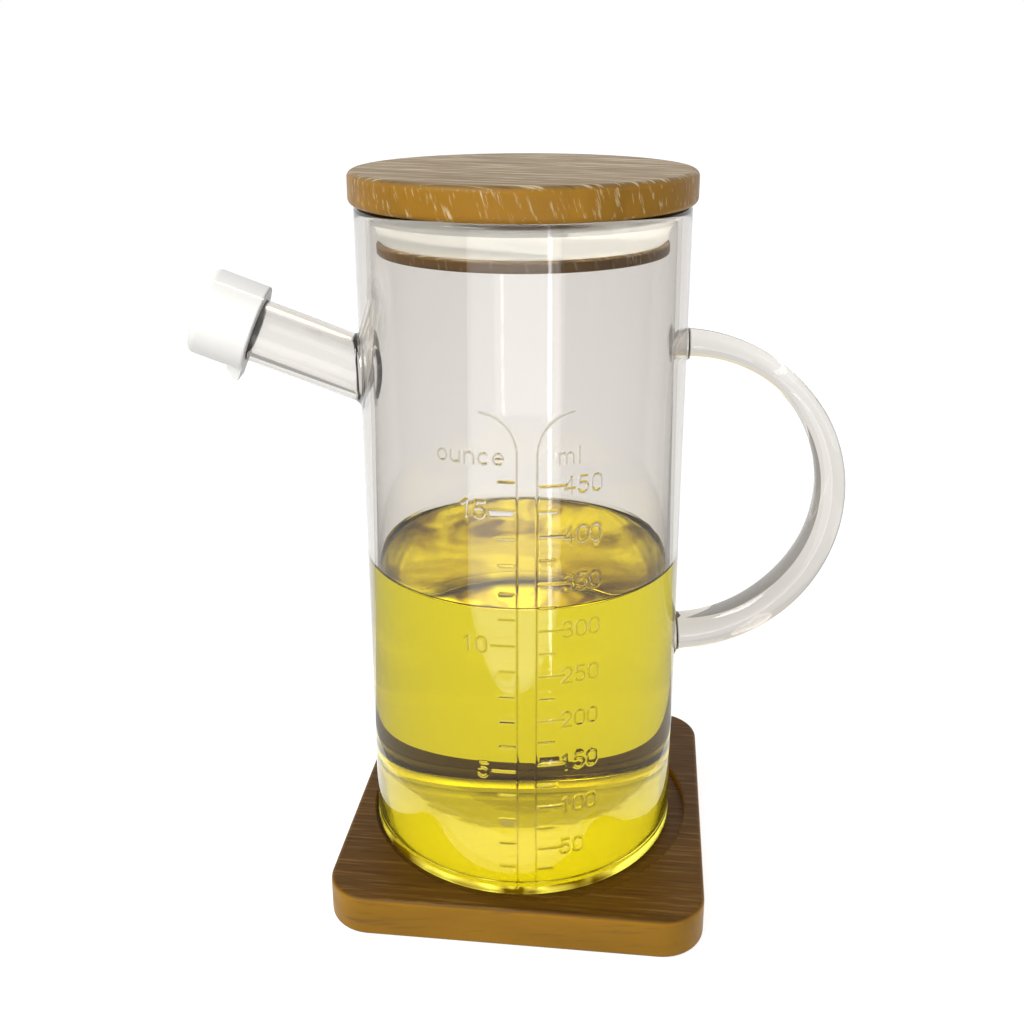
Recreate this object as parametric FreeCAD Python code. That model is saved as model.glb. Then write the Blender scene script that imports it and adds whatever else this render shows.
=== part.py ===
import FreeCAD, Part
import math
import os

# A clear oil jug with a straight side spout and a bowed handle, standing in a square wooden
# coaster.  A wooden lid plugs the jug with a soft seal, and a soft cap closes the spout.
# Millimetres, +Z up.  The origin is on the jug's axis, on the surface the coaster stands on.
# The handle points to +X and the spout to -X.

# --- Driving dimensions -------------------------------------------------------------------

# Coaster: a square board with a round recess for the jug
COASTER_BORDER = 4.25          # narrowest width of the rim round the recess
COASTER_THICKNESS = 10.6
COASTER_CORNER_RADIUS = 11.0
COASTER_EDGE_ROUNDING = 1.2
COASTER_TURN = -7.4            # degrees about Z, away from square to the handle
RECESS_DEPTH = 1.8
RECESS_CLEARANCE = 2.4         # radial room between the jug and the recess wall
RECESS_RIM_ROUNDING = 0.5
JUG_OFF_CENTRE = (-0.8, 0.25)  # share of that room by which the jug stands off the middle

# Jug body: a straight tube with a floor, drawn from one piece of glass
JUG_RADIUS = 40.0
JUG_HEIGHT = 165.3
WALL = 3.0
FLOOR = 2.0
BASE_ROUNDING = 1.5            # outside, between wall and underside
INNER_ROUNDING = 2.5           # inside, between wall and floor
FOOT_WIDTH = 5.0               # flat ring that the jug stands on
DISH_DEPTH = 0.8               # rise of the underside inside that ring

# Spout: a straight tube welded to the wall, rising outwards
SPOUT_RADIUS = 7.8
SPOUT_WALL = 2.0
SPOUT_TILT = 21.8              # degrees above level
SPOUT_BELOW_RIM = 40.9         # where its axis meets the outer wall, below the jug's rim
SPOUT_LENGTH = 38.5            # along the axis, from the outer wall to the tip
SPOUT_TIP_ROUNDING = 0.7
SPOUT_WELD_FILLET = 1.6

# Handle: a solid rod bent to half a circle, both ends welded to the wall.  It is drawn out by
# hand, so it is thick at the foot and thinnest above the middle of the bow.
HANDLE_ROD_RADII = (5.0, 5.0, 5.0, 4.55, 4.05, 3.5, 2.95, 3.35, 3.9)  # at even steps upwards
HANDLE_BOW_RADIUS = 39.2       # of the rod's centre line
HANDLE_BELOW_RIM = 74.2        # middle of the bow below the jug's rim
HANDLE_SET_IN = 0.6            # how far inside the outer wall the bow's centre lies
HANDLE_WELD_FILLET = 1.2

# Oil
OIL_LEVEL = 77.0               # above the jug's underside

# Lid: a wooden disc on the rim, with a turned plug below
LID_OVERHANG = 1.2
LID_THICKNESS = 7.8
LID_EDGE_ROUNDING = 1.6
PLUG_CLEARANCE = 2.1           # between the plug's flange and the inner wall
SHOULDER_HEIGHT = 1.8          # of the plug between the disc and the seal
SHOULDER_INSET = 0.8           # shoulder inside the flange's radius
GROOVE_DEPTH = 2.4             # seal groove below the flange's radius
FLANGE_THICKNESS = 2.7
FLANGE_ROUNDING = 0.7

# Seal: a soft ring in the groove whose upper lip reaches the wall
SEAL_HEIGHT = 6.6
SEAL_WALL_CLEARANCE = 0.05
SEAL_LIP_HEIGHT = 1.3
SEAL_LIP_ROUNDING = 0.5
SEAL_UNDERCUT = 0.8            # height of the slot between the seal's outer part and the flange
SEAL_FOOT_WIDTH = 1.2          # of the part of the ring that stands on the flange

# Spout cap: a soft cup pushed over the tip, with a strip on top and a thumb lip below
CAP_WALL = 2.75
CAP_OVERLAP = 11.6             # length of spout inside the cap
CAP_END = 2.5
CAP_FIT_CLEARANCE = 0.05
CAP_END_ROUNDING = 2.0
CAP_MOUTH_ROUNDING = 0.6
STRIP_HEIGHT = 0.4
STRIP_HALF_ANGLE = 30.0
LIP_REACH = 2.2
LIP_LENGTH = 3.6
LIP_TIP_LENGTH = 0.9
LIP_WIDTH = 8.0

# Modelling tolerances
TOUCH = 1e-4                   # a point this near to a face counts as lying on it
WELD_TOUCH = 1e-3              # the same where a tube's curved weld line is followed
EDGE_SAMPLES = 7               # points that are tested along an edge

# --- Derived places -----------------------------------------------------------------------

RECESS_RADIUS = JUG_RADIUS + RECESS_CLEARANCE
COASTER_SIDE = 2 * (RECESS_RADIUS + COASTER_BORDER)
JUG_BASE = COASTER_THICKNESS - RECESS_DEPTH
RIM_Z = JUG_BASE + JUG_HEIGHT
RIM_ROUNDING = WALL / 2        # the rim's two edges meet in one full round
INNER_RADIUS = JUG_RADIUS - WALL
OIL_Z = JUG_BASE + OIL_LEVEL
FLANGE_RADIUS = INNER_RADIUS - PLUG_CLEARANCE
GROOVE_RADIUS = FLANGE_RADIUS - GROOVE_DEPTH
SEAL_TOP_Z = RIM_Z - SHOULDER_HEIGHT
SEAL_BOTTOM_Z = SEAL_TOP_Z - SEAL_HEIGHT
PLUG_BOTTOM_Z = SEAL_BOTTOM_Z - FLANGE_THICKNESS
SPOUT_AXIS = FreeCAD.Vector(
    -math.cos(math.radians(SPOUT_TILT)), 0.0, math.sin(math.radians(SPOUT_TILT))
)
SPOUT_ROOT = FreeCAD.Vector(-JUG_RADIUS, 0.0, RIM_Z - SPOUT_BELOW_RIM)
# Local Z runs out along the spout, local X points to the spout's upper side.
SPOUT_FRAME = FreeCAD.Placement(
    SPOUT_ROOT, FreeCAD.Rotation(FreeCAD.Vector(0, 0, 1), SPOUT_AXIS)
)
HANDLE_MIDDLE = FreeCAD.Vector(JUG_RADIUS - HANDLE_SET_IN, 0.0, RIM_Z - HANDLE_BELOW_RIM)
CAP_RADIUS = SPOUT_RADIUS + CAP_FIT_CLEARANCE + CAP_WALL
CAP_MOUTH = SPOUT_LENGTH - CAP_OVERLAP
CAP_LENGTH = CAP_OVERLAP + CAP_END


# --- Helpers ------------------------------------------------------------------------------

def arc(start, middle, end):
    """Arc through three (r, z) points, as an edge in the XZ plane."""
    points = [FreeCAD.Vector(r, 0, z) for r, z in (start, middle, end)]
    return Part.Arc(*points).toShape()


def line(start, end):
    """Straight edge between two (r, z) points in the XZ plane."""
    return Part.makeLine(
        FreeCAD.Vector(start[0], 0, start[1]), FreeCAD.Vector(end[0], 0, end[1])
    )


def quarter(centre, radius, from_degrees):
    """Quarter circle, counterclockwise from the given angle, as an edge in the XZ plane."""
    ends = []
    for degrees in (from_degrees, from_degrees + 45.0, from_degrees + 90.0):
        angle = math.radians(degrees)
        ends.append((centre[0] + radius * math.cos(angle), centre[1] + radius * math.sin(angle)))
    return arc(*ends)


def turned(edges):
    """Solid of revolution about Z of a closed outline in the XZ plane."""
    wire = Part.Wire(Part.__sortEdges__(edges))
    face = Part.Face(wire)
    solid = face.revolve(FreeCAD.Vector(0, 0, 0), FreeCAD.Vector(0, 0, 1), 360)
    if solid.Volume < 0:
        solid.reverse()
    return solid


def polygon(points):
    """Closed outline of straight edges through (r, z) points."""
    return [line(a, b) for a, b in zip(points, points[1:] + points[:1])]


def edges_near(shape, test):
    """Edges of a shape whose points all pass a test."""
    found = []
    for edge in [edge for edge in shape.Edges if not edge.Degenerated]:
        points = edge.discretize(EDGE_SAMPLES)
        if all(test(point) for point in points):
            found.append(edge)
    return found


def one_solid(shape):
    """The single clean solid in the result of a Boolean operation."""
    clean = shape.removeSplitter()
    if len(clean.Solids) != 1:
        raise ValueError("expected one solid, got %d" % len(clean.Solids))
    return clean.Solids[0]


def radius_of(point):
    return math.hypot(point.x, point.y)


# --- Pieces -------------------------------------------------------------------------------

def make_coaster():
    side = COASTER_SIDE
    board = Part.makeBox(side, side, COASTER_THICKNESS, FreeCAD.Vector(-side / 2, -side / 2, 0))
    uprights = [edge for edge in board.Edges if edge.BoundBox.ZLength > TOUCH]
    board = board.makeFillet(COASTER_CORNER_RADIUS, uprights)
    flat_edges = edges_near(board, lambda p: p.z < TOUCH)
    flat_edges += edges_near(board, lambda p: p.z > COASTER_THICKNESS - TOUCH)
    board = board.makeFillet(COASTER_EDGE_ROUNDING, flat_edges)
    recess = Part.makeCylinder(RECESS_RADIUS, RECESS_DEPTH, FreeCAD.Vector(0, 0, JUG_BASE))
    board = board.cut(recess)
    rim = edges_near(
        board,
        lambda p: abs(radius_of(p) - RECESS_RADIUS) < TOUCH and p.z > COASTER_THICKNESS - TOUCH,
    )
    board = board.makeFillet(RECESS_RIM_ROUNDING, rim)
    board.rotate(FreeCAD.Vector(0, 0, 0), FreeCAD.Vector(0, 0, 1), COASTER_TURN)
    room_x, room_y = (-share * RECESS_CLEARANCE for share in JUG_OFF_CENTRE)
    board.translate(FreeCAD.Vector(room_x, room_y, 0))
    return one_solid(board)


def jug_cavity(top_z):
    """The inside of the jug from its floor up to a level."""
    floor_z = JUG_BASE + FLOOR
    corner = (INNER_RADIUS - INNER_ROUNDING, floor_z + INNER_ROUNDING)
    return turned([
        line((0, floor_z), (corner[0], floor_z)),
        quarter(corner, INNER_ROUNDING, -90),
        line((INNER_RADIUS, corner[1]), (INNER_RADIUS, top_z)),
        line((INNER_RADIUS, top_z), (0, top_z)),
        line((0, top_z), (0, floor_z)),
    ])


def jug_outside():
    """The jug body as if it were solid, with its dished underside and rounded rim."""
    foot_outer = JUG_RADIUS - BASE_ROUNDING
    foot_inner = foot_outer - FOOT_WIDTH
    dish_top = JUG_BASE + DISH_DEPTH
    middle = foot_inner / 2
    dish_radius = (foot_inner ** 2 + DISH_DEPTH ** 2) / (2 * DISH_DEPTH)
    dish_middle = dish_top - dish_radius + math.sqrt(dish_radius ** 2 - middle ** 2)
    return turned([
        arc((0, dish_top), (middle, dish_middle), (foot_inner, JUG_BASE)),
        line((foot_inner, JUG_BASE), (foot_outer, JUG_BASE)),
        quarter((foot_outer, JUG_BASE + BASE_ROUNDING), BASE_ROUNDING, -90),
        line((JUG_RADIUS, JUG_BASE + BASE_ROUNDING), (JUG_RADIUS, RIM_Z - RIM_ROUNDING)),
        quarter((JUG_RADIUS - RIM_ROUNDING, RIM_Z - RIM_ROUNDING), RIM_ROUNDING, 0),
        line((JUG_RADIUS - RIM_ROUNDING, RIM_Z), (0, RIM_Z)),
        line((0, RIM_Z), (0, dish_top)),
    ])


def spout_cylinder(radius, start, end):
    """Cylinder round the spout's axis between two distances from the outer wall."""
    cylinder = Part.makeCylinder(radius, end - start, FreeCAD.Vector(0, 0, start))
    cylinder.Placement = SPOUT_FRAME
    return cylinder


def handle_rod():
    """The bowed rod, whose two ends run on into the wall."""
    run_in = HANDLE_MIDDLE.x - (JUG_RADIUS - WALL / 2)
    half_angle = math.pi / 2 + math.asin(run_in / HANDLE_BOW_RADIUS)
    steps = len(HANDLE_ROD_RADII) - 1
    sections = []
    for step, radius in enumerate(HANDLE_ROD_RADII):
        angle = half_angle * (2 * step / steps - 1)
        out = FreeCAD.Vector(math.cos(angle), 0, math.sin(angle))
        along = FreeCAD.Vector(-out.z, 0, out.x)
        circle = Part.makeCircle(radius, HANDLE_MIDDLE + out * HANDLE_BOW_RADIUS, along)
        sections.append(Part.Wire([circle]))
    return Part.makeLoft(sections, True)


def make_glass_jug():
    run_in = WALL + SPOUT_RADIUS * math.tan(math.radians(SPOUT_TILT))
    spout = spout_cylinder(SPOUT_RADIUS, -run_in, SPOUT_LENGTH)
    tip = edges_near(spout, lambda p: (p - SPOUT_ROOT).dot(SPOUT_AXIS) > SPOUT_LENGTH - TOUCH)
    spout = spout.makeFillet(SPOUT_TIP_ROUNDING, tip)
    body = one_solid(jug_outside().fuse([spout, handle_rod()]))

    def on_wall(point):
        return abs(radius_of(point) - JUG_RADIUS) < WELD_TOUCH

    spout_welds = edges_near(
        body, lambda p: on_wall(p) and (p - SPOUT_ROOT).Length < 2 * SPOUT_RADIUS
    )
    body = body.makeFillet(SPOUT_WELD_FILLET, spout_welds)
    weld_reach = 2 * max(HANDLE_ROD_RADII)
    handle_welds = edges_near(
        body, lambda p: on_wall(p) and p.x > 0 and abs(p.y) < weld_reach
        and abs(abs(p.z - HANDLE_MIDDLE.z) - HANDLE_BOW_RADIUS) < weld_reach
    )
    body = body.makeFillet(HANDLE_WELD_FILLET, handle_welds)

    body = body.cut(jug_cavity(RIM_Z - RIM_ROUNDING))
    rim_edge = turned([
        line((INNER_RADIUS, RIM_Z - RIM_ROUNDING), (0, RIM_Z - RIM_ROUNDING)),
        line((0, RIM_Z - RIM_ROUNDING), (0, RIM_Z)),
        line((0, RIM_Z), (INNER_RADIUS + RIM_ROUNDING, RIM_Z)),
        quarter((INNER_RADIUS + RIM_ROUNDING, RIM_Z - RIM_ROUNDING), RIM_ROUNDING, 90),
    ])
    body = body.cut(rim_edge)
    bore = spout_cylinder(SPOUT_RADIUS - SPOUT_WALL, -2 * run_in, SPOUT_LENGTH + WALL)
    return one_solid(body.cut(bore))


def make_lid():
    disc_radius = JUG_RADIUS + LID_OVERHANG
    top_z = RIM_Z + LID_THICKNESS
    edge = LID_EDGE_ROUNDING
    shoulder_radius = FLANGE_RADIUS - SHOULDER_INSET
    flange_edge = FLANGE_ROUNDING
    return one_solid(turned([
        line((0, top_z), (disc_radius - edge, top_z)),
        quarter((disc_radius - edge, top_z - edge), edge, 0),
        line((disc_radius, top_z - edge), (disc_radius, RIM_Z + edge)),
        quarter((disc_radius - edge, RIM_Z + edge), edge, -90),
        line((disc_radius - edge, RIM_Z), (shoulder_radius, RIM_Z)),
        line((shoulder_radius, RIM_Z), (shoulder_radius, SEAL_TOP_Z)),
        line((shoulder_radius, SEAL_TOP_Z), (GROOVE_RADIUS, SEAL_TOP_Z)),
        line((GROOVE_RADIUS, SEAL_TOP_Z), (GROOVE_RADIUS, SEAL_BOTTOM_Z)),
        line((GROOVE_RADIUS, SEAL_BOTTOM_Z), (FLANGE_RADIUS - flange_edge, SEAL_BOTTOM_Z)),
        quarter((FLANGE_RADIUS - flange_edge, SEAL_BOTTOM_Z - flange_edge), flange_edge, 0),
        line((FLANGE_RADIUS, SEAL_BOTTOM_Z - flange_edge),
             (FLANGE_RADIUS, PLUG_BOTTOM_Z + flange_edge)),
        quarter((FLANGE_RADIUS - flange_edge, PLUG_BOTTOM_Z + flange_edge), flange_edge, -90),
        line((FLANGE_RADIUS - flange_edge, PLUG_BOTTOM_Z), (0, PLUG_BOTTOM_Z)),
        line((0, PLUG_BOTTOM_Z), (0, top_z)),
    ]))


def make_lid_seal():
    lip_radius = INNER_RADIUS - SEAL_WALL_CLEARANCE
    lip_low_z = SEAL_TOP_Z - SEAL_LIP_HEIGHT
    slot_z = SEAL_BOTTOM_Z + SEAL_UNDERCUT
    foot_radius = GROOVE_RADIUS + SEAL_FOOT_WIDTH
    skirt_radius = FLANGE_RADIUS - SEAL_UNDERCUT / 2
    flare_middle = ((skirt_radius + lip_radius) / 2 - SEAL_LIP_ROUNDING,
                    (slot_z + lip_low_z) / 2 + SEAL_LIP_ROUNDING)
    return one_solid(turned([
        line((GROOVE_RADIUS, SEAL_BOTTOM_Z), (foot_radius, SEAL_BOTTOM_Z)),
        line((foot_radius, SEAL_BOTTOM_Z), (foot_radius, slot_z)),
        line((foot_radius, slot_z), (skirt_radius, slot_z)),
        arc((skirt_radius, slot_z), flare_middle, (lip_radius, lip_low_z)),
        line((lip_radius, lip_low_z), (lip_radius, SEAL_TOP_Z - SEAL_LIP_ROUNDING)),
        quarter((lip_radius - SEAL_LIP_ROUNDING, SEAL_TOP_Z - SEAL_LIP_ROUNDING),
                SEAL_LIP_ROUNDING, 0),
        line((lip_radius - SEAL_LIP_ROUNDING, SEAL_TOP_Z), (GROOVE_RADIUS, SEAL_TOP_Z)),
        line((GROOVE_RADIUS, SEAL_TOP_Z), (GROOVE_RADIUS, SEAL_BOTTOM_Z)),
    ]))


def cap_blank(radius):
    """Solid cap body in the spout's own frame, rounded at both ends."""
    blank = Part.makeCylinder(radius, CAP_LENGTH, FreeCAD.Vector(0, 0, CAP_MOUTH))
    end_z = CAP_MOUTH + CAP_LENGTH
    blank = blank.makeFillet(CAP_END_ROUNDING, edges_near(blank, lambda p: p.z > end_z - TOUCH))
    mouth = edges_near(blank, lambda p: p.z < CAP_MOUTH + TOUCH)
    return blank.makeFillet(CAP_MOUTH_ROUNDING, mouth)


def make_spout_cap():
    wedge = Part.makeCylinder(
        2 * CAP_RADIUS, CAP_LENGTH, FreeCAD.Vector(0, 0, CAP_MOUTH),
        FreeCAD.Vector(0, 0, 1), 2 * STRIP_HALF_ANGLE,
    )
    wedge.rotate(FreeCAD.Vector(0, 0, 0), FreeCAD.Vector(0, 0, 1), -STRIP_HALF_ANGLE)
    strip = cap_blank(CAP_RADIUS + STRIP_HEIGHT).common(wedge)
    root = -(CAP_RADIUS - CAP_WALL / 2)
    tip = -(CAP_RADIUS + LIP_REACH)
    lip_face = Part.Face(Part.Wire(polygon([
        (root, CAP_MOUTH),
        (tip, CAP_MOUTH),
        (tip, CAP_MOUTH + LIP_TIP_LENGTH),
        (-CAP_RADIUS, CAP_MOUTH + LIP_LENGTH),
        (root, CAP_MOUTH + LIP_LENGTH),
    ])))
    lip_face.translate(FreeCAD.Vector(0, -LIP_WIDTH / 2, 0))
    lip = lip_face.extrude(FreeCAD.Vector(0, LIP_WIDTH, 0))
    cap = cap_blank(CAP_RADIUS).fuse([strip, lip])
    bore_radius = CAP_RADIUS - CAP_WALL
    cap = cap.cut(Part.makeCylinder(bore_radius, CAP_OVERLAP, FreeCAD.Vector(0, 0, CAP_MOUTH)))
    cap = one_solid(cap)
    cap.Placement = SPOUT_FRAME
    return cap


# --- Output -------------------------------------------------------------------------------

def main():
    pieces = {
        "coaster": make_coaster(),
        "glass_jug": make_glass_jug(),
        "oil": one_solid(jug_cavity(OIL_Z)),
        "lid": make_lid(),
        "lid_seal": make_lid_seal(),
        "spout_cap": make_spout_cap(),
    }
    os.makedirs("parts", exist_ok=True)
    for name, shape in pieces.items():
        shape.exportStep(os.path.join("parts", name + ".step"))
        box = shape.BoundBox
        print("%-10s volume %9.1f mm3  x %.1f..%.1f  y %.1f..%.1f  z %.1f..%.1f" % (
            name, shape.Volume, box.XMin, box.XMax, box.YMin, box.YMax, box.ZMin, box.ZMax))


main()
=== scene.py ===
"""Looks of the oil jug: clear glass, oil, wooden lid and coaster, white silicone seal and cap."""

import math

import bmesh
import bpy
import numpy as np
from mathutils import Matrix, Vector


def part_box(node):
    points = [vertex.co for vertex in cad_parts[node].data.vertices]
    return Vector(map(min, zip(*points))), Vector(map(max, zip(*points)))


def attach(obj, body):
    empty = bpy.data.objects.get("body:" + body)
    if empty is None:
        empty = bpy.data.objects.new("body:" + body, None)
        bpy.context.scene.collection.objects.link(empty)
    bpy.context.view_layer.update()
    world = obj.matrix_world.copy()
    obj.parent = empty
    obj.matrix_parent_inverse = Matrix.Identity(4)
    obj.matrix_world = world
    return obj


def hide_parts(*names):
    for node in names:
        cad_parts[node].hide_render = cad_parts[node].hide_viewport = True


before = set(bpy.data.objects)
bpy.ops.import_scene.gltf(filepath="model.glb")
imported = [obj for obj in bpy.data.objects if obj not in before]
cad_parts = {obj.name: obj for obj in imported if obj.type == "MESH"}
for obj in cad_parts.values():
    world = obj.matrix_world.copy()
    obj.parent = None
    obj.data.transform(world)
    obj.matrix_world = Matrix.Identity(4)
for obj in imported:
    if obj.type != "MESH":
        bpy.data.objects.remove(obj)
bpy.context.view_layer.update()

BODY = "root"
MM = 0.001

# --- Places and sizes, in metres ----------------------------------------------------------

GLASS_LOW, GLASS_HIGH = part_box("glass_jug")
OIL_LOW, OIL_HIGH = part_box("oil")

JUG_RADIUS = GLASS_HIGH.y
INNER_RADIUS = OIL_HIGH.y
BASE_Z = GLASS_LOW.z
RIM_Z = GLASS_HIGH.z
FLOOR_Z = OIL_LOW.z
WALL = JUG_RADIUS - INNER_RADIUS
BASE_ROUNDING = 1.5 * MM
INNER_ROUNDING = 2.5 * MM
FOOT_WIDTH = 5.0 * MM
DISH_DEPTH = 0.8 * MM
JUG_SEGMENTS = 256

SPOUT_RADIUS = 7.8 * MM
SPOUT_BORE = 5.8 * MM
SPOUT_TILT = math.radians(21.8)
SPOUT_LENGTH = 38.5 * MM
SPOUT_ROOT = Vector((-JUG_RADIUS, 0.0, RIM_Z - 40.9 * MM))
SPOUT_WELD = 1.6 * MM
SPOUT_TIP_ROUNDING = 0.7 * MM
SPOUT_SEGMENTS = 96

ROD_RADII = (5.0, 5.0, 5.0, 4.55, 4.05, 3.5, 2.95, 3.35, 3.9)  # mm, at even steps up the bow
BOW_RADIUS = 39.2 * MM
BOW_CENTRE = Vector((JUG_RADIUS - 0.6 * MM, 0.0, RIM_Z - 74.2 * MM))
HANDLE_WELD = 1.2 * MM
ROD_SEGMENTS = 48

MENISCUS_RISE = 1.3 * MM
MENISCUS_WIDTH = 0.75 * MM
OIL_INTO_GLASS = 0.12 * MM      # so that no air gap shows

# The raised scale on the front of the jug
SCALE_ZERO_Z = 11.2 * MM
SCALE_STEP = 11.72 * MM         # of 50 ml
OUNCE_ML = 28.41
RIDGE_HEIGHT = 0.2 * MM
RIDGE_HALF_WIDTH = 0.34 * MM
RIDGE_SPLIT = 4                 # fine cells along each edge of a coarse cell round a ridge

SHARP_EDGE = math.radians(40)   # edges sharper than this aren't smoothed

# --- Light and matter ---------------------------------------------------------------------

# Strengths of light, where 1 shows as white
WORLD_FILL = 0.48               # the world, as it lights dull surfaces
FLOOR_GLOW = 0.82               # the floor's own, under the light that falls on it
PAINTED_POOL_GLOW = 2.5                 # painted light: a glow painted on the wood below the oil, where the oil gathers light

CLEAR_IOR = 1.47                # of glass and oil alike
WOOD_SPECULAR = 0.15
CARD_DISTANCE = 0.6             # of the upright cards behind the object
CARD_HALF_WIDTH = 1.0
CARD_FAR = 1.6                  # outer edge of the cards on the floor


# --- Mesh helpers -------------------------------------------------------------------------

def mesh_object(name, vertices, faces):
    """Object from vertices and faces, smooth but for its sharp edges."""
    mesh = bpy.data.meshes.new(name)
    mesh.from_pydata([tuple(v) for v in vertices], [], faces)
    mesh.validate()
    tidy = bmesh.new()
    tidy.from_mesh(mesh)
    bmesh.ops.recalc_face_normals(tidy, faces=tidy.faces)
    tidy.to_mesh(mesh)
    tidy.free()
    mesh.shade_smooth()
    mesh.set_sharp_from_angle(angle=SHARP_EDGE)
    obj = bpy.data.objects.new(name, mesh)
    bpy.context.scene.collection.objects.link(obj)
    return obj


def arc_points(centre, radius, start, end, steps):
    """Points (r, z) on an arc, angles in degrees, both ends included."""
    points = []
    for k in range(steps + 1):
        angle = math.radians(start + (end - start) * k / steps)
        points.append((centre[0] + radius * math.cos(angle), centre[1] + radius * math.sin(angle)))
    return points


def spread(low, high, step):
    """Values between low and high, both left out, about step apart."""
    count = max(1, round((high - low) / step))
    return [low + (high - low) * k / count for k in range(1, count)]


def turned(name, profile, segments):
    """Solid of revolution about Z; the profile runs from one point on the axis to another."""
    vertices = []
    rings = []
    for r, z in profile:
        if r < 1e-9:
            rings.append([len(vertices)])
            vertices.append((0.0, 0.0, z))
            continue
        ring = []
        for k in range(segments):
            angle = 2 * math.pi * k / segments
            ring.append(len(vertices))
            vertices.append((r * math.cos(angle), r * math.sin(angle), z))
        rings.append(ring)
    faces = []
    for low, high in zip(rings, rings[1:]):
        for k in range(segments):
            n = (k + 1) % segments
            corners = [low[k % len(low)], low[n % len(low)], high[n % len(high)], high[k % len(high)]]
            faces.append(list(dict.fromkeys(corners)))
    return mesh_object(name, vertices, faces)


def tube_faces(rings, closed_ends=True):
    """Faces between rings of vertex numbers, with a flat face at both ends."""
    faces = []
    for low, high in zip(rings, rings[1:]):
        count = len(low)
        for k in range(count):
            n = (k + 1) % count
            faces.append([low[k], low[n], high[n], high[k]])
    if closed_ends:
        faces.append(list(reversed(rings[0])))
        faces.append(list(rings[-1]))
    return faces


def boolean(obj, other, operation):
    """Join another object to this one's mesh or cut it out; the other is used up."""
    modifier = obj.modifiers.new(operation, "BOOLEAN")
    modifier.operation = operation
    modifier.solver = "MANIFOLD"
    modifier.object = other
    evaluated = obj.evaluated_get(bpy.context.evaluated_depsgraph_get())
    mesh = bpy.data.meshes.new_from_object(evaluated)
    obj.modifiers.clear()
    old = obj.data
    obj.data = mesh
    bpy.data.meshes.remove(old)
    bpy.data.objects.remove(other)


# --- The raised scale ---------------------------------------------------------------------

def glyph_arc(cx, cy, rx, ry, start, end, steps=10):
    """Points along an ellipse arc in a glyph's own units, angles in degrees."""
    points = []
    for k in range(steps + 1):
        angle = math.radians(start + (end - start) * k / steps)
        points.append((cx + rx * math.cos(angle), cy + ry * math.sin(angle)))
    return points


# Single-stroke plain letters and digits, 1 high and about 0.6 wide
GLYPHS = {
    "0": [glyph_arc(0.3, 0.7, 0.3, 0.3, 0, 180) + glyph_arc(0.3, 0.3, 0.3, 0.3, 180, 360) + [(0.6, 0.7)]],
    "1": [[(0.12, 0.8), (0.32, 1.0), (0.32, 0.0)]],
    "2": [glyph_arc(0.3, 0.72, 0.28, 0.28, 165, -35) + [(0.0, 0.0), (0.6, 0.0)]],
    "3": [glyph_arc(0.28, 0.75, 0.26, 0.25, 150, -90), glyph_arc(0.28, 0.27, 0.3, 0.27, 90, -150)],
    "4": [[(0.42, 0.0), (0.42, 1.0), (0.0, 0.3), (0.62, 0.3)]],
    "5": [[(0.54, 1.0), (0.1, 1.0), (0.05, 0.55)] + glyph_arc(0.27, 0.32, 0.31, 0.32, 125, -150)],
    "m": [[(0.0, 0.0), (0.0, 0.66)],
          [(0.0, 0.4)] + glyph_arc(0.2, 0.46, 0.2, 0.2, 180, 0) + [(0.4, 0.0)],
          [(0.4, 0.4)] + glyph_arc(0.6, 0.46, 0.2, 0.2, 180, 0) + [(0.8, 0.0)]],
    "l": [[(0.1, 0.0), (0.1, 1.0)]],
    "o": [glyph_arc(0.3, 0.33, 0.28, 0.33, 0, 360, 20)],
    "u": [[(0.0, 0.66), (0.0, 0.28)] + glyph_arc(0.27, 0.28, 0.27, 0.28, 180, 360) + [(0.54, 0.66)],
          [(0.54, 0.66), (0.54, 0.0)]],
    "n": [[(0.0, 0.0), (0.0, 0.66)],
          [(0.0, 0.38)] + glyph_arc(0.27, 0.39, 0.27, 0.27, 180, 0) + [(0.54, 0.0)]],
    "c": [glyph_arc(0.3, 0.33, 0.3, 0.33, 50, 310, 16)],
    "e": [[(0.0, 0.35), (0.58, 0.35)] + glyph_arc(0.29, 0.33, 0.29, 0.33, 5, 310, 18)],
}
GLYPH_ADVANCE = {"m": 1.06, "l": 0.4}
GLYPH_DEFAULT_ADVANCE = 0.84


def text_strokes(text, left, low, height):
    """Strokes of a line of text whose lower left corner is at (left, low) on the wall."""
    strokes = []
    x = left
    for letter in text:
        for stroke in GLYPHS[letter]:
            strokes.append([(x + px * height, low + py * height) for px, py in stroke])
        x += GLYPH_ADVANCE.get(letter, GLYPH_DEFAULT_ADVANCE) * height
    return strokes


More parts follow.
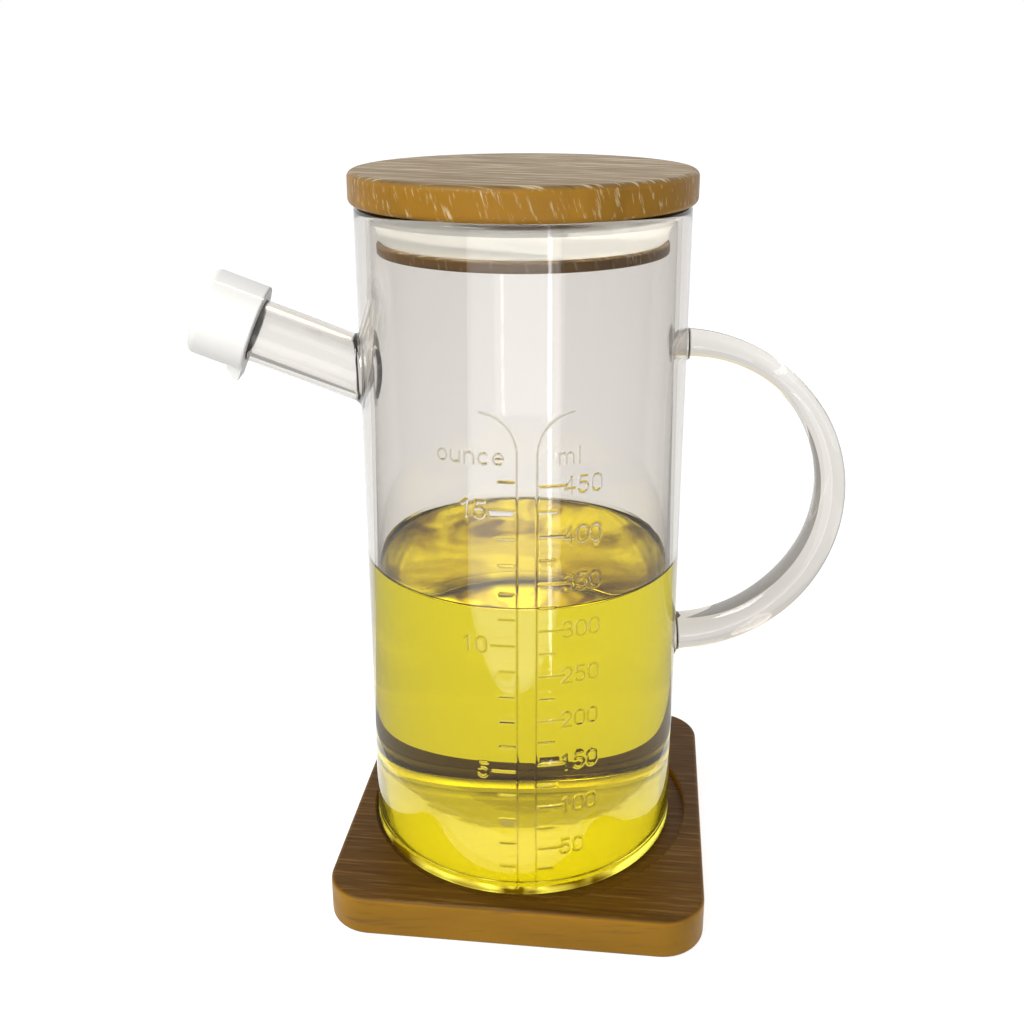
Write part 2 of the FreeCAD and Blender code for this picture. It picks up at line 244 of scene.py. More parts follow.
def scale_strokes():
    """Centre lines of all the raised marks, as (distance round the wall, z), in metres."""
    def ml_z(ml):
        return SCALE_ZERO_Z + SCALE_STEP * ml / 50.0

    line_x = 2.23 * MM
    tall = 3.9 * MM
    strokes = []
    curl_radius = 9.5 * MM
    line_top = 124.3 * MM
    for side in (-1, 1):
        line = [(side * line_x, BASE_Z + BASE_ROUNDING + 1.2 * MM), (side * line_x, line_top)]
        line += [(side * (line_x + curl_radius * (1 - math.cos(a))), line_top + curl_radius * math.sin(a))
                 for a in np.radians(np.linspace(8, 82, 12))]
        strokes.append(line)
    for ml in range(25, 451, 25):
        long_tick = ml % 50 == 0
        reach = 6.6 * MM if long_tick else 4.2 * MM
        strokes.append([(line_x + 0.6 * MM, ml_z(ml)), (line_x + reach, ml_z(ml))])
        if long_tick:
            strokes += text_strokes(str(ml), 8.3 * MM, ml_z(ml) - tall / 2, tall)
    for ounce in range(1, 17):
        z = ml_z(ounce * OUNCE_ML)
        long_tick = ounce % 5 == 0
        reach = 6.0 * MM if long_tick else 4.2 * MM
        strokes.append([(-line_x - 0.6 * MM, z), (-line_x - reach, z)])
        if long_tick:
            label = str(ounce)
            strokes += text_strokes(label, -(8.2 + 3.4 * len(label)) * MM, z - tall / 2, tall)
    strokes += text_strokes("ounce", -20.5 * MM, 121.8 * MM, 3.9 * MM)
    strokes += text_strokes("ml", 7.2 * MM, 121.8 * MM, 3.9 * MM)
    return strokes


def relief_heights(points, strokes):
    """Height of the ridges over the wall at each (distance round, z) point."""
    starts, ends = [], []
    for stroke in strokes:
        starts += stroke[:-1]
        ends += stroke[1:]
    starts = np.array(starts)
    ends = np.array(ends)
    nearest = np.full(len(points), 1.0)
    margin = 1 * MM
    for a, b in zip(starts, ends):
        low = np.minimum(a, b) - margin
        high = np.maximum(a, b) + margin
        near = np.where(((points > low) & (points < high)).all(axis=1))[0]
        if not len(near):
            continue
        run = b - a
        length2 = max(float(run @ run), 1e-18)
        t = np.clip(((points[near] - a) @ run) / length2, 0.0, 1.0)
        gap = np.linalg.norm(points[near] - (a + t[:, None] * run), axis=1)
        nearest[near] = np.minimum(nearest[near], gap)
    share = np.clip(nearest / RIDGE_HALF_WIDTH, 0.0, 1.0)
    return RIDGE_HEIGHT * 0.5 * (1 + np.cos(math.pi * share))


# --- The jug ------------------------------------------------------------------------------

def jug_profile():
    """Outline rows (r, z) below the outer wall, the wall's heights, and the rows after it."""
    foot_outer = JUG_RADIUS - BASE_ROUNDING
    foot_inner = foot_outer - FOOT_WIDTH
    dish_radius = (foot_inner ** 2 + DISH_DEPTH ** 2) / (2 * DISH_DEPTH)
    below = [(0.0, BASE_Z + DISH_DEPTH)]
    for r in [foot_inner * k / 12 for k in range(1, 12)]:
        below.append((r, BASE_Z + DISH_DEPTH - dish_radius + math.sqrt(dish_radius ** 2 - r * r)))
    below.append((foot_inner, BASE_Z))
    below += arc_points((foot_outer, BASE_Z + BASE_ROUNDING), BASE_ROUNDING, -90, 0, 12)[:-1]
    wall_low = BASE_Z + BASE_ROUNDING
    rim_round = WALL / 2
    wall_high = RIM_Z - rim_round
    after = arc_points((JUG_RADIUS - rim_round, wall_high), rim_round, 0, 180, 20)[1:]
    after += [(INNER_RADIUS, z) for z in reversed(spread(FLOOR_Z + INNER_ROUNDING, wall_high, 3 * MM))]
    corner = (INNER_RADIUS - INNER_ROUNDING, FLOOR_Z + INNER_ROUNDING)
    after += list(reversed(arc_points(corner, INNER_ROUNDING, -90, 0, 12)))
    after += [(corner[0] * k / 8, FLOOR_Z) for k in range(7, 0, -1)]
    after.append((0.0, FLOOR_Z))
    return below, (wall_low, wall_high), after


def make_jug_body():
    """The jug's turned body, with the scale's ridges raised on its front."""
    below, (wall_low, wall_high), after = jug_profile()
    lowest = wall_low + 0.5 * MM                  # the marks start above this plain row
    heights = [wall_low, lowest] + spread(lowest, wall_high, 2 * MM) + [wall_high]
    split = RIDGE_SPLIT
    row_split = 2 * split
    columns = JUG_SEGMENTS * split
    fine_heights = []
    for low, high in zip(heights, heights[1:]):
        fine_heights += [low + (high - low) * k / row_split for k in range(row_split)]
    fine_heights.append(heights[-1])
    fine_heights = np.array(fine_heights)
    front = 3 * columns // 4                      # the column that faces -Y
    turn = 2 * math.pi / columns
    u = np.arange(columns)
    around = (u - front) * turn * JUG_RADIUS
    grid_u, grid_v = np.meshgrid(u, np.arange(len(fine_heights)), indexing="ij")
    points = np.stack([around[grid_u.ravel()], fine_heights[grid_v.ravel()]], axis=1)
    height = relief_heights(points, scale_strokes()).reshape(columns, len(fine_heights))

    vertices, faces, numbers = [], [], {}

    def wall_vertex(iu, iv):
        key = (iu % columns, iv)
        if key not in numbers:
            numbers[key] = len(vertices)
            r = JUG_RADIUS + height[key]
            angle = key[0] * turn
            vertices.append((r * math.cos(angle), r * math.sin(angle), fine_heights[iv]))
        return numbers[key]

    rows = len(heights) - 1
    raised = np.zeros((JUG_SEGMENTS, rows), bool)
    lifted = height > 1e-6
    for i in range(JUG_SEGMENTS):
        cols = np.arange(i * split, (i + 1) * split + 1) % columns
        for j in range(rows):
            raised[i, j] = lifted[cols, j * row_split:(j + 1) * row_split + 1].any()
    for i in range(JUG_SEGMENTS):
        left, right = (i - 1) % JUG_SEGMENTS, (i + 1) % JUG_SEGMENTS
        u0, u1 = i * split, (i + 1) * split
        for j in range(rows):
            v0, v1 = j * row_split, (j + 1) * row_split
            if raised[i, j]:
                for a in range(u0, u1):
                    for b in range(v0, v1):
                        faces.append([wall_vertex(a, b), wall_vertex(a + 1, b),
                                      wall_vertex(a + 1, b + 1), wall_vertex(a, b + 1)])
                continue
            ring = [(a, v0) for a in (range(u0, u1) if j and raised[i, j - 1] else (u0,))]
            ring += [(u1, b) for b in (range(v0, v1) if raised[right, j] else (v0,))]
            ring += [(a, v1) for a in (range(u1, u0, -1) if j + 1 < rows and raised[i, j + 1] else (u1,))]
            ring += [(u0, b) for b in (range(v1, v0, -1) if raised[left, j] else (v1,))]
            faces.append([wall_vertex(a, b) for a, b in ring])

    def plain_ring(r, z):
        if r < 1e-9:
            vertices.append((0.0, 0.0, z))
            return [len(vertices) - 1]
        ring = []
        for k in range(JUG_SEGMENTS):
            angle = 2 * math.pi * k / JUG_SEGMENTS
            ring.append(len(vertices))
            vertices.append((r * math.cos(angle), r * math.sin(angle), z))
        return ring

    bottom = [plain_ring(r, z) for r, z in below]
    bottom.append([wall_vertex(k * split, 0) for k in range(JUG_SEGMENTS)])
    top = [[wall_vertex(k * split, len(fine_heights) - 1) for k in range(JUG_SEGMENTS)]]
    top += [plain_ring(r, z) for r, z in after]
    for rings in (bottom, top):
        for low, high in zip(rings, rings[1:]):
            for k in range(JUG_SEGMENTS):
                n = (k + 1) % JUG_SEGMENTS
                corners = [low[k % len(low)], low[n % len(low)], high[n % len(high)], high[k % len(high)]]
                faces.append(list(dict.fromkeys(corners)))
    jug = mesh_object("glass_jug_looks", vertices, faces)
    marks = jug.data.attributes.new("mark", "FLOAT", "POINT")
    values = np.zeros(len(vertices), np.float32)
    for key, number in numbers.items():
        values[number] = height[key] / RIDGE_HEIGHT
    marks.data.foreach_set("value", values)
    return jug


def weld_flare(distance, fillet):
    """How much thicker a rod is at a distance from the wall that a round fillet joins it to."""
    if distance >= fillet:
        return 0.0
    left = fillet - max(distance, 0.0)
    return fillet - math.sqrt(max(fillet * fillet - left * left, 0.0))


def rod_radius(share):
    """Radius of the handle's rod at a share of the way up its bow, smooth through ROD_RADII."""
    last = len(ROD_RADII) - 1
    place = min(max(share, 0.0), 1.0) * last
    k = min(int(place), last - 1)
    t = place - k
    before, low, high, after = (ROD_RADII[min(max(k + step, 0), last)] for step in (-1, 0, 1, 2))
    rise_low, rise_high = (high - before) / 2, (after - low) / 2
    bend = 2 * (low - high) + rise_low + rise_high
    return MM * (low + t * (rise_low + t * (3 * (high - low) - 2 * rise_low - rise_high + t * bend)))


def make_handle():
    """The bowed rod, with flared ends that stop inside the wall."""
    steps = [0.0, 0.45, 0.9, 1.25, 1.5, 1.6, 1.75, 1.95, 2.2, 2.45, 2.7, 3.2]
    near = [s * MM - 1.5 * MM for s in steps]     # distances from the wall, negative inside it
    bow_start = BOW_CENTRE.x - JUG_RADIUS
    half = math.pi * BOW_RADIUS
    along = [(d - bow_start) for d in near]
    along = [s for s in along if s < half / 4]
    middle = np.linspace(along[-1], half - along[-1], 76)[1:-1].tolist()
    stations = along + middle + [half - s for s in reversed(along)]
    vertices, rings = [], []
    for s in stations:
        if s < 0:
            centre = BOW_CENTRE + Vector((s, 0, BOW_RADIUS))
            out = Vector((0, 0, 1))
        elif s > half:
            centre = BOW_CENTRE + Vector((half - s, 0, -BOW_RADIUS))
            out = Vector((0, 0, -1))
        else:
            angle = math.pi / 2 - s / BOW_RADIUS
            out = Vector((math.cos(angle), 0, math.sin(angle)))
            centre = BOW_CENTRE + out * BOW_RADIUS
        from_wall = min(s, half - s) + bow_start
        radius = rod_radius(1 - s / half) + weld_flare(from_wall, HANDLE_WELD)
        ring = []
        for k in range(ROD_SEGMENTS):
            angle = 2 * math.pi * k / ROD_SEGMENTS
            ring.append(len(vertices))
            vertices.append(centre + radius * (out * math.cos(angle) + Vector((0, 1, 0)) * math.sin(angle)))
        rings.append(ring)
    return mesh_object("handle_rod", vertices, tube_faces(rings))


def make_spout(radius, weld, start_depth, end, tip_rounding):
    """A round bar along the spout's axis, from inside the wall to a distance along the axis."""
    axis = Vector((-math.cos(SPOUT_TILT), 0, math.sin(SPOUT_TILT)))
    up = Vector((math.sin(SPOUT_TILT), 0, math.cos(SPOUT_TILT)))
    side = Vector((0, 1, 0))
    near = [-start_depth, -0.6 * start_depth, -0.3 * start_depth, 0.0]
    near += [weld * share for share in (0.06, 0.15, 0.3, 0.45, 0.6, 0.8, 1.0)] if weld else [0.5 * MM]
    rows = []
    for angle in [2 * math.pi * k / SPOUT_SEGMENTS for k in range(SPOUT_SEGMENTS)]:
        row = []
        for distance in near:
            fat = radius + (weld_flare(distance, weld) if weld and distance >= 0 else (weld or 0.0))
            spoke = up * (fat * math.cos(angle)) + side * (fat * math.sin(angle))
            # Where the bar's surface line meets a cylinder of this radius about the jug's axis
            wanted = JUG_RADIUS + distance
            flat = math.sqrt(wanted ** 2 - spoke.y ** 2)
            travel = (flat + SPOUT_ROOT.x + spoke.x) / -axis.x
            row.append(SPOUT_ROOT + spoke + axis * travel)
        spoke = up * math.cos(angle) + side * math.sin(angle)
        last = (row[-1] - SPOUT_ROOT).dot(axis)
        body_end = end - tip_rounding
        for share in (0.25, 0.5, 0.75, 1.0):
            row.append(SPOUT_ROOT + spoke * radius + axis * (last + (body_end - last) * share))
        if tip_rounding:
            for degrees in (22.5, 45.0, 67.5, 90.0):
                a = math.radians(degrees)
                r = radius - tip_rounding * (1 - math.cos(a))
                row.append(SPOUT_ROOT + spoke * r + axis * (body_end + tip_rounding * math.sin(a)))
        rows.append(row)
    vertices, rings = [], []
    for k in range(len(rows[0])):
        rings.append(list(range(len(vertices), len(vertices) + SPOUT_SEGMENTS)))
        vertices += [row[k] for row in rows]
    faces = tube_faces(rings, closed_ends=False)
    inner = len(vertices)
    vertices.append(sum((vertices[v] for v in rings[0]), Vector()) / SPOUT_SEGMENTS)
    faces += [[rings[0][(k + 1) % SPOUT_SEGMENTS], rings[0][k], inner] for k in range(SPOUT_SEGMENTS)]
    outer = len(vertices)
    vertices.append(SPOUT_ROOT + axis * end)
    faces += [[rings[-1][k], rings[-1][(k + 1) % SPOUT_SEGMENTS], outer] for k in range(SPOUT_SEGMENTS)]
    return mesh_object("spout_bar", vertices, faces)


def make_glass_jug():
    jug = make_jug_body()
    boolean(jug, make_handle(), "UNION")
    boolean(jug, make_spout(SPOUT_RADIUS, SPOUT_WELD, WALL / 2, SPOUT_LENGTH, SPOUT_TIP_ROUNDING), "UNION")
    bore = make_spout(SPOUT_BORE, 0.0, 2 * WALL, SPOUT_LENGTH + WALL, 0.0)
    boolean(jug, bore, "DIFFERENCE")
    jug.data.shade_smooth()
    jug.data.set_sharp_from_angle(angle=SHARP_EDGE)
    return jug


# --- The oil ------------------------------------------------------------------------------

def make_oil():
    """The oil, with a level that climbs a little at the wall, reaching just into the glass."""
    radius = INNER_RADIUS + OIL_INTO_GLASS
    corner = (radius - INNER_ROUNDING, FLOOR_Z - OIL_INTO_GLASS + INNER_ROUNDING)
    level = OIL_HIGH.z - 0.5 * MM
    profile = [(corner[0] * k / 8, corner[1] - INNER_ROUNDING) for k in range(8)]
    profile += arc_points(corner, INNER_ROUNDING, -90, 0, 12)
    profile += [(radius, z) for z in spread(corner[1], level + MENISCUS_RISE, 4 * MM)]
    for k in range(25):
        away = 6 * MM * (k / 24) ** 2
        profile.append((radius - away, level + MENISCUS_RISE * math.exp(-away / MENISCUS_WIDTH)))
    profile += [(profile[-1][0] * share, level) for share in (0.75, 0.5, 0.25)]
    profile.append((0.0, level))
    return turned("oil_looks", profile, JUG_SEGMENTS)


# --- Materials ----------------------------------------------------------------------------

def new_material(name):
    material = bpy.data.materials.new(name)
    material.use_nodes = True
    nodes = material.node_tree.nodes
    nodes.clear()
    return material, nodes, material.node_tree.links


def mapped(nodes, links, source, rotation=(0, 0, 0), scale=(1, 1, 1)):
    """The source vector, first turned and then scaled."""
    turn = nodes.new("ShaderNodeMapping")
    turn.inputs["Rotation"].default_value = rotation
    links.new(source, turn.inputs["Vector"])
    stretch = nodes.new("ShaderNodeMapping")
    stretch.inputs["Scale"].default_value = scale
    links.new(turn.outputs["Vector"], stretch.inputs["Vector"])
    return stretch.outputs["Vector"]


def noise(nodes, links, vector, scale, detail=2.0, roughness=0.5, distortion=0.0):
    texture = nodes.new("ShaderNodeTexNoise")
    texture.inputs["Scale"].default_value = scale
    texture.inputs["Detail"].default_value = detail
    texture.inputs["Roughness"].default_value = roughness
    texture.inputs["Distortion"].default_value = distortion
    links.new(vector, texture.inputs["Vector"])
    return texture.outputs["Fac"]


def ramp(nodes, links, factor, stops):
    """Colours or grey values at places along a factor."""
    made = nodes.new("ShaderNodeValToRGB")
    elements = made.color_ramp.elements
    while len(elements) < len(stops):
        elements.new(0.5)
    for element, (place, value) in zip(elements, stops):
        colour = value if isinstance(value, tuple) else (value, value, value)
        element.position = place
        element.color = (*colour, 1)
    links.new(factor, made.inputs["Fac"])
    return made.outputs["Color"]


def mix_colour(nodes, links, factor, first, second, blend="MIX"):
    """Mix of two colours; each is an output or a fixed colour."""
    made = nodes.new("ShaderNodeMix")
    made.data_type = "RGBA"
    made.blend_type = blend
    for value, socket in ((factor, made.inputs[0]), (first, made.inputs[6]), (second, made.inputs[7])):
        if isinstance(value, bpy.types.NodeSocket):
            links.new(value, socket)
        elif isinstance(value, tuple):
            socket.default_value = (*value, 1)
        else:
            socket.default_value = value
    return made.outputs[2]


def bump(nodes, links, height, strength, distance):
    made = nodes.new("ShaderNodeBump")
    made.inputs["Strength"].default_value = strength
    made.inputs["Distance"].default_value = distance
    links.new(height, made.inputs["Height"])
    return made.outputs["Normal"]


def clear_material(name, tint, shadow_tint, absorb, density, ripple=0.0, mark_painted_shade=None, shine=1.0):
    """Something see-through that lets lamps through and swallows light as it goes in.

    absorb, density: colour that is left and how fast; ripple: depth of the drawn glass's waves;
    mark_painted_shade: painted shade on the clear raised marks, in place of the dark lines their edges make
    by bending light; shine: share of the mirror reflection that is kept.
    """
    material, nodes, links = new_material(name)
    glass = nodes.new("ShaderNodeBsdfPrincipled")
    glass.inputs["Base Color"].default_value = (*tint, 1)
    glass.inputs["Roughness"].default_value = 0.0
    glass.inputs["IOR"].default_value = CLEAR_IOR
    glass.inputs["Transmission Weight"].default_value = 1.0
    glass.inputs["Specular Tint"].default_value = (shine, shine, shine, 1)
    if mark_painted_shade:
        # Painted shade: the clear raised marks are coloured darker, in place of the dark lines their edges
        # make by bending light
        marks = nodes.new("ShaderNodeAttribute")
        marks.attribute_name = "mark"
        links.new(mix_colour(nodes, links, marks.outputs["Fac"], tint, mark_painted_shade), glass.inputs["Base Color"])
    if ripple:
        place = nodes.new("ShaderNodeTexCoord").outputs["Object"]
        drawn = noise(nodes, links, mapped(nodes, links, place, scale=(150, 150, 9)), 1.0, 1.5)
        links.new(bump(nodes, links, drawn, 1.0, ripple), glass.inputs["Normal"])
    open_way = nodes.new("ShaderNodeBsdfTransparent")
    open_way.inputs["Color"].default_value = (*shadow_tint, 1)
    path = nodes.new("ShaderNodeLightPath")
    mix = nodes.new("ShaderNodeMixShader")
    links.new(path.outputs["Is Shadow Ray"], mix.inputs["Fac"])
    links.new(glass.outputs["BSDF"], mix.inputs[1])
    links.new(open_way.outputs["BSDF"], mix.inputs[2])
    volume = nodes.new("ShaderNodeVolumeAbsorption")
    volume.inputs["Color"].default_value = (*absorb, 1)
    volume.inputs["Density"].default_value = density
    out = nodes.new("ShaderNodeOutputMaterial")
    links.new(mix.outputs["Shader"], out.inputs["Surface"])
    links.new(volume.outputs["Volume"], out.inputs["Volume"])
    return material


def wood_material(name, turn, face_wood_and_painted_light, side_wood_and_painted_light, pale, dark, side_grain, painted_pool_radius=0.0):
    """Oiled hardwood: fine pores along the grain, broad darker bands, and flat faces coloured apart from the
    sides, partly the wood's tone and partly painted light and shade.

    face_wood_and_painted_light, side_wood_and_painted_light: colours of the flat faces and of the sides, each
    the wood's tone with painted light or shade in it; pale, dark: of pores and streaks;
    side_grain: lean in radians, and fineness along X, Y and Z, of the pores on the sides;
    painted_pool_radius: round the jug's axis, where a painted pool of light glows on the wood below the oil.
    """
    material, nodes, links = new_material(name)
    place = nodes.new("ShaderNodeTexCoord").outputs["Object"]
    tilt = math.radians(-8)
    fine_place = mapped(nodes, links, place, (tilt, 0, turn), (45, 1150, 160))
    fine = noise(nodes, links, fine_place, 1.0, 3.0, 0.6, 0.4)
    broad_place = mapped(nodes, links, place, (tilt, 0, turn), (9, 95, 40))
    broad = noise(nodes, links, broad_place, 1.0, 3.0, 0.55, 1.2)
    upright = nodes.new("ShaderNodeSeparateXYZ")
    links.new(nodes.new("ShaderNodeNewGeometry").outputs["Normal"], upright.inputs[0])
    flat = ramp(nodes, links, upright.outputs["Z"], [(0.35, 0.0), (0.85, 1.0)])
    # Painted light and shade: the faces' colour differs from the sides' by how light falls on them, as well
    # as by the wood's tone
    colour = mix_colour(nodes, links, flat, side_wood_and_painted_light, face_wood_and_painted_light)
    lean, *fineness = side_grain
    side_pores = noise(nodes, links, mapped(nodes, links, place, (0, lean, 0), fineness), 1.0, 3.0, 0.6)
    side_pores = mix_colour(nodes, links, 0.45, side_pores, (0.5, 0.5, 0.5))
    fine = mix_colour(nodes, links, flat, side_pores, fine)
    shade = ramp(nodes, links, broad, [(0.3, 0.84), (0.5, 1.0), (0.72, 1.16)])
    colour = mix_colour(nodes, links, 1.0, colour, shade, "MULTIPLY")
    light_pores = ramp(nodes, links, fine, [(0.54, 0.0), (0.64, 0.85)])
    colour = mix_colour(nodes, links, light_pores, colour, pale)
    dark_pores = ramp(nodes, links, fine, [(0.3, 0.75), (0.42, 0.0)])
    colour = mix_colour(nodes, links, dark_pores, colour, dark)
    shader = nodes.new("ShaderNodeBsdfPrincipled")
    links.new(colour, shader.inputs["Base Color"])
    links.new(ramp(nodes, links, fine, [(0.3, 0.5), (0.7, 0.32)]), shader.inputs["Roughness"])
    links.new(bump(nodes, links, fine, 0.5, 0.00015), shader.inputs["Normal"])
    shader.inputs["Specular IOR Level"].default_value = WOOD_SPECULAR
    # Painted light: a patchy yellow glow on the wood below the oil, in place of the light the oil gathers
    # there
    if painted_pool_radius:
        flat_place = mapped(nodes, links, place, scale=(1, 1, 0))
        distance = nodes.new("ShaderNodeVectorMath")
        distance.operation = "LENGTH"
        links.new(flat_place, distance.inputs[0])
        within = nodes.new("ShaderNodeMapRange")
        within.inputs["From Min"].default_value = painted_pool_radius
        within.inputs["From Max"].default_value = 0.9 * painted_pool_radius
        links.new(distance.outputs["Value"], within.inputs["Value"])
        patches = noise(nodes, links, mapped(nodes, links, place, scale=(60, 45, 0)), 1.0, 2.0, 0.5, 0.8)
        painted_pool_stops = [(0.36, (0.1, 0.06, 0.0)), (0.45, (0.5, 0.42, 0.04)), (0.56, (1.0, 0.98, 0.12))]
        glow = ramp(nodes, links, patches, painted_pool_stops)
        glow = mix_colour(nodes, links, 1.0, glow, within.outputs["Result"], "MULTIPLY")
        links.new(glow, shader.inputs["Emission Color"])
        shader.inputs["Emission Strength"].default_value = PAINTED_POOL_GLOW
    out = nodes.new("ShaderNodeOutputMaterial")
    links.new(shader.outputs["BSDF"], out.inputs["Surface"])
    return material


def silicone_material(name, colour):
    """Soft white silicone, a little mottled, with a dull sheen."""
    material, nodes, links = new_material(name)
    place = nodes.new("ShaderNodeTexCoord").outputs["Object"]
    patches = noise(nodes, links, place, 90.0, 2.0)
    tone = mix_colour(nodes, links, patches, colour, tuple(0.96 * c for c in colour))
    shader = nodes.new("ShaderNodeBsdfPrincipled")
    links.new(tone, shader.inputs["Base Color"])
    shader.inputs["Roughness"].default_value = 0.42
    grain = noise(nodes, links, place, 2500.0, 1.0)
    links.new(bump(nodes, links, grain, 0.15, 0.0001), shader.inputs["Normal"])
    out = nodes.new("ShaderNodeOutputMaterial")
    links.new(shader.outputs["BSDF"], out.inputs["Surface"])
    return material


# --- Stage --------------------------------------------------------------------------------

def make_camera():
    camera = bpy.data.cameras.new("camera")
    camera.lens = 41.15
    camera.sensor_width = 36.0
    camera.shift_y = -0.0898
    camera.clip_start = 0.01
    obj = bpy.data.objects.new("camera", camera)
    bpy.context.scene.collection.objects.link(obj)
    pitch, yaw, roll = math.radians(17.502), math.radians(0.705), math.radians(-0.179)
    ahead = Vector((math.sin(yaw) * math.cos(pitch), math.cos(yaw) * math.cos(pitch), -math.sin(pitch)))
    right = Vector((math.cos(yaw), -math.sin(yaw), 0))
    up = right.cross(ahead)
    turned_right = right * math.cos(roll) + up * math.sin(roll)
    turned_up = up * math.cos(roll) - right * math.sin(roll)
    rotation = Matrix((turned_right, turned_up, -ahead)).transposed()
    obj.matrix_world = Matrix.Translation((-0.00619, -0.27994, 0.20793)) @ rotation.to_4x4()
    bpy.context.scene.camera = obj


def make_area_light(name, place, target, size, power):
    light = bpy.data.lights.new(name, "AREA")
    light.shape = "RECTANGLE"
    light.size, light.size_y = size
    light.energy = power
    obj = bpy.data.objects.new(name, light)
    bpy.context.scene.collection.objects.link(obj)
    direction = Vector(target) - Vector(place)
    obj.matrix_world = Matrix.Translation(place) @ direction.to_track_quat("-Z", "Y").to_matrix().to_4x4()
    return obj


def light_only(light, piece):
    """Keep a lamp's light to one piece, which stands behind the glass."""
    receivers = bpy.data.collections.new(light.name + "_receivers")
    receivers.objects.link(piece)
    light.light_linking.receiver_collection = receivers


def seen_rays(nodes, links):
    """1 for camera, glossy and transmission rays, which are to see the white backdrop."""
    path = nodes.new("ShaderNodeLightPath")
    total = path.outputs["Is Camera Ray"]
    for ray in ("Is Glossy Ray", "Is Transmission Ray"):
        add = nodes.new("ShaderNodeMath")
        add.operation = "ADD"
        add.use_clamp = True
        links.new(total, add.inputs[0])
        links.new(path.outputs[ray], add.inputs[1])
        total = add.outputs[0]
    return total


def make_world():
    world = bpy.data.worlds.new("studio")
    bpy.context.scene.world = world
    world.use_nodes = True
    nodes, links = world.node_tree.nodes, world.node_tree.links
    nodes.clear()
    fill = nodes.new("ShaderNodeBackground")
    fill.inputs["Color"].default_value = (0.97, 0.98, 1.0, 1)
    fill.inputs["Strength"].default_value = WORLD_FILL
    white = nodes.new("ShaderNodeBackground")
    white.inputs["Color"].default_value = (1, 1, 1, 1)
    white.inputs["Strength"].default_value = 1.0
    mix = nodes.new("ShaderNodeMixShader")
    links.new(seen_rays(nodes, links), mix.inputs["Fac"])
    links.new(fill.outputs[0], mix.inputs[1])
    links.new(white.outputs[0], mix.inputs[2])
    out = nodes.new("ShaderNodeOutputWorld")
    links.new(mix.outputs[0], out.inputs["Surface"])


def make_floor():
    """A white floor that keeps the object's soft shadow."""
    side = 3.0
    mesh = bpy.data.meshes.new("floor")
    corners = [(-side, -side, 0), (side, -side, 0), (side, side, 0), (-side, side, 0)]
    mesh.from_pydata(corners, [], [(0, 1, 2, 3)])
    floor = bpy.data.objects.new("floor", mesh)
    bpy.context.scene.collection.objects.link(floor)
    material, nodes, links = new_material("floor")
    diffuse = nodes.new("ShaderNodeBsdfDiffuse")
    diffuse.inputs["Color"].default_value = (0.5, 0.5, 0.5, 1)
    white = nodes.new("ShaderNodeEmission")
    strength = nodes.new("ShaderNodeMath")
    strength.operation = "MULTIPLY"
    strength.inputs[1].default_value = FLOOR_GLOW
    links.new(seen_rays(nodes, links), strength.inputs[0])
    links.new(strength.outputs[0], white.inputs["Strength"])
    both = nodes.new("ShaderNodeAddShader")
    links.new(diffuse.outputs[0], both.inputs[0])
    links.new(white.outputs[0], both.inputs[1])
    out = nodes.new("ShaderNodeOutputMaterial")
    links.new(both.outputs[0], out.inputs["Surface"])
    mesh.materials.append(material)


def make_card(name, points, strength, lights_up=True, mirrored=True, colour=(1, 1, 1)):
    """A flat card that glows at a strength, where 1 is white, and that the camera doesn't see.

    It shows through clear pieces.  lights_up: it also lights dull surfaces; mirrored: gloss
    shows it too.
    """
    mesh = bpy.data.meshes.new(name)
    mesh.from_pydata(points, [], [list(range(len(points)))])
    card = bpy.data.objects.new(name, mesh)
    bpy.context.scene.collection.objects.link(card)
    material, nodes, links = new_material(name)
    glow = nodes.new("ShaderNodeEmission")
    glow.inputs["Strength"].default_value = strength
    glow.inputs["Color"].default_value = (*colour, 1)
    out = nodes.new("ShaderNodeOutputMaterial")
    links.new(glow.outputs[0], out.inputs["Surface"])
    mesh.materials.append(material)
    card.visible_camera = False
    card.visible_diffuse = lights_up
    card.visible_shadow = False
    card.visible_glossy = mirrored
    card.visible_transmission = True


def floor_wedge(start, end, near, far, height, bulge=0.0):
    """Corners of a piece of floor between two azimuths (degrees from -Y) and two distances.

    bulge: how much further out the near edge is at its two ends, as a share of its distance.
    """
    points = []
    steps = 12
    for k in range(steps + 1):
        angle = math.radians(start + (end - start) * k / steps)
        distance = near * (1 + bulge * abs(2 * k / steps - 1) ** 2.5)
        points.append((distance * math.sin(angle), -distance * math.cos(angle), height))
    for k in range(steps, -1, -1):
        angle = math.radians(start + (end - start) * k / steps)
        points.append((far * math.sin(angle), -far * math.cos(angle), height))
    return points


def back_card(name, low, high, strength, colour):
    """An upright card behind the object, between two heights, that only clear pieces show."""
    side, y = CARD_HALF_WIDTH, CARD_DISTANCE
    points = [(-side, y, low), (side, y, low), (side, y, high), (-side, y, high)]
    make_card(name, points, strength, lights_up=False, mirrored=False, colour=colour)


# --- Build --------------------------------------------------------------------------------

def add_piece(obj, material, replaced):
    obj.data.materials.clear()
    obj.data.materials.append(material)
    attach(obj, BODY)
    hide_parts(replaced)


def dress_node(name, material):
    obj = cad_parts[name]
    obj.data.materials.clear()
    obj.data.materials.append(material)


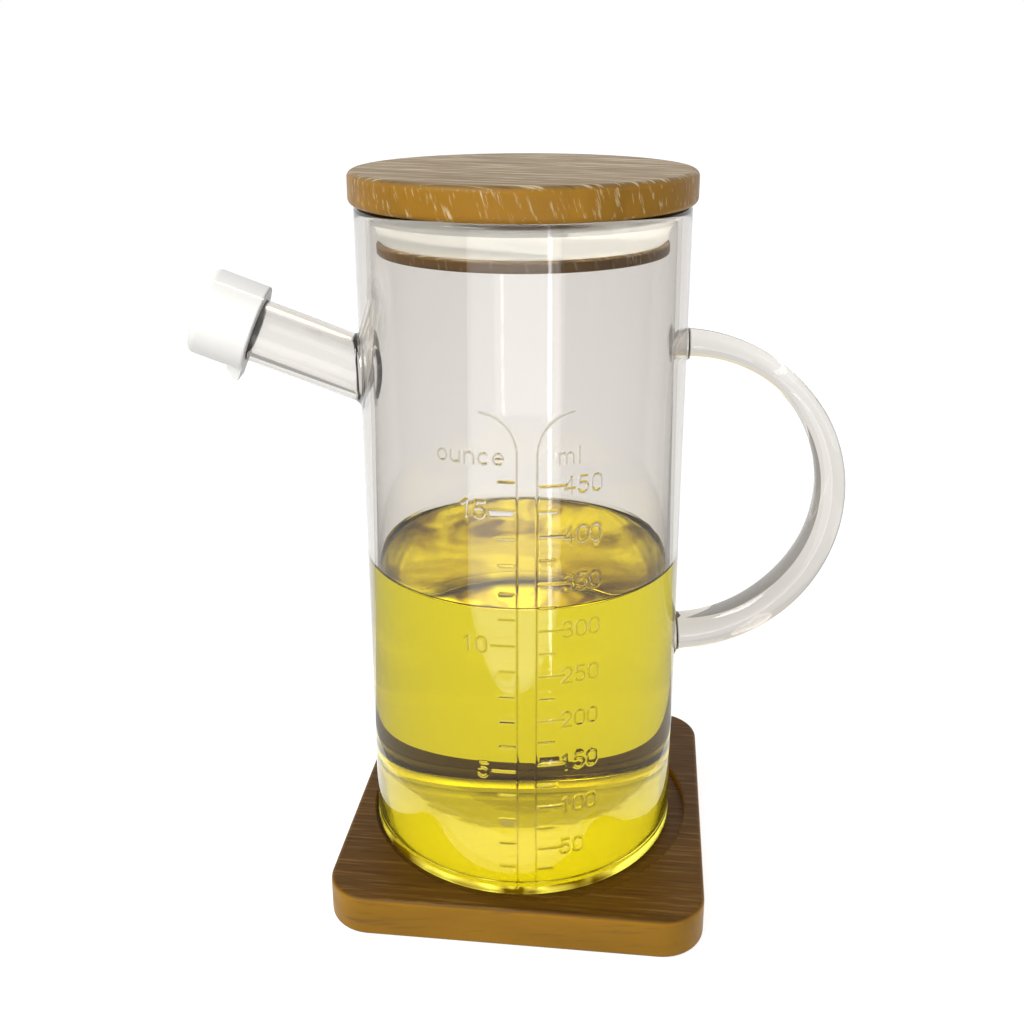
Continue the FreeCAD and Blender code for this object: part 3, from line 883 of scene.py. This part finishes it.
make_camera()
make_world()
make_floor()
make_area_light("key", (-0.5, -0.5, 0.9), (0, 0, 0.09), (0.5, 0.5), 8.0)
make_area_light("side", (0.7, -0.35, 0.35), (0, 0, 0.09), (0.2, 0.6), 0.5)
seal_light = make_area_light("seal_light", (-0.05, -0.6, 0.06), (0, -0.037, 0.17), (0.3, 0.3), 5.5)
seal_light.data.spread = math.radians(30)
seal_light.visible_glossy = False
light_only(seal_light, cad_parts["lid_seal"])
make_card("window_card", floor_wedge(-37, 23, 0.143, CARD_FAR, 0.004, bulge=0.5), 2.4)
make_card("strip_card", floor_wedge(15.0, 17.2, 0.15, CARD_FAR, 0.006, bulge=0.5), 9.0)
make_card("dark_card", floor_wedge(-130, 130, 0.075, CARD_FAR, 0.002), 0.5, lights_up=False)
back_card("high_card", 0.43, 1.3, 2.1, (1, 1, 1))
back_card("low_card", 0.25, 0.43, 1.1, (1.0, 0.94, 0.75))
scene = bpy.context.scene
scene.view_settings.view_transform = "Standard"
scene.cycles.caustics_refractive = False
scene.cycles.caustics_reflective = False
scene.cycles.max_bounces = 32
scene.cycles.transmission_bounces = 32
scene.cycles.transparent_max_bounces = 32

# The raised marks get painted shade, darker than the clear glass around them
glass = clear_material("clear_glass", tint=(0.94, 0.93, 0.915), shadow_tint=(0.95, 0.95, 0.94),
                       absorb=(0.5, 0.45, 0.38), density=95.0, ripple=2e-5, mark_painted_shade=(0.4, 0.34, 0.2))
# Hardly any shine, because the glass round the oil is as dense as the oil
oil = clear_material("oil", tint=(1, 1, 1), shadow_tint=(0.97, 0.93, 0.35),
                     absorb=(0.9986, 0.97, 0.0), density=60.0, shine=0.0)
# Face and side colours hold painted light: a painted greyish sheen on the lid's top, painted shade darkening
# the coaster's top
lid_wood = wood_material("lid_wood", turn=math.radians(22), face_wood_and_painted_light=(0.19, 0.115, 0.035),
                         side_wood_and_painted_light=(0.28, 0.135, 0.012), pale=(0.62, 0.5, 0.3), dark=(0.1, 0.045, 0.01),
                         side_grain=(math.radians(18), 1100, 1100, 130))
coaster_wood = wood_material("coaster_wood", turn=math.radians(7.4), face_wood_and_painted_light=(0.105, 0.045, 0.003),
                             side_wood_and_painted_light=(0.38, 0.185, 0.014), pale=(0.2, 0.1, 0.02), dark=(0.05, 0.02, 0.005),
                             side_grain=(math.radians(6), 45, 45, 420), painted_pool_radius=0.97 * JUG_RADIUS)
add_piece(make_glass_jug(), glass, "glass_jug")
add_piece(make_oil(), oil, "oil")
dress_node("lid", lid_wood)
dress_node("coaster", coaster_wood)
dress_node("lid_seal", silicone_material("seal_silicone", (0.95, 0.94, 0.89)))
dress_node("spout_cap", silicone_material("cap_silicone", (0.89, 0.88, 0.84)))
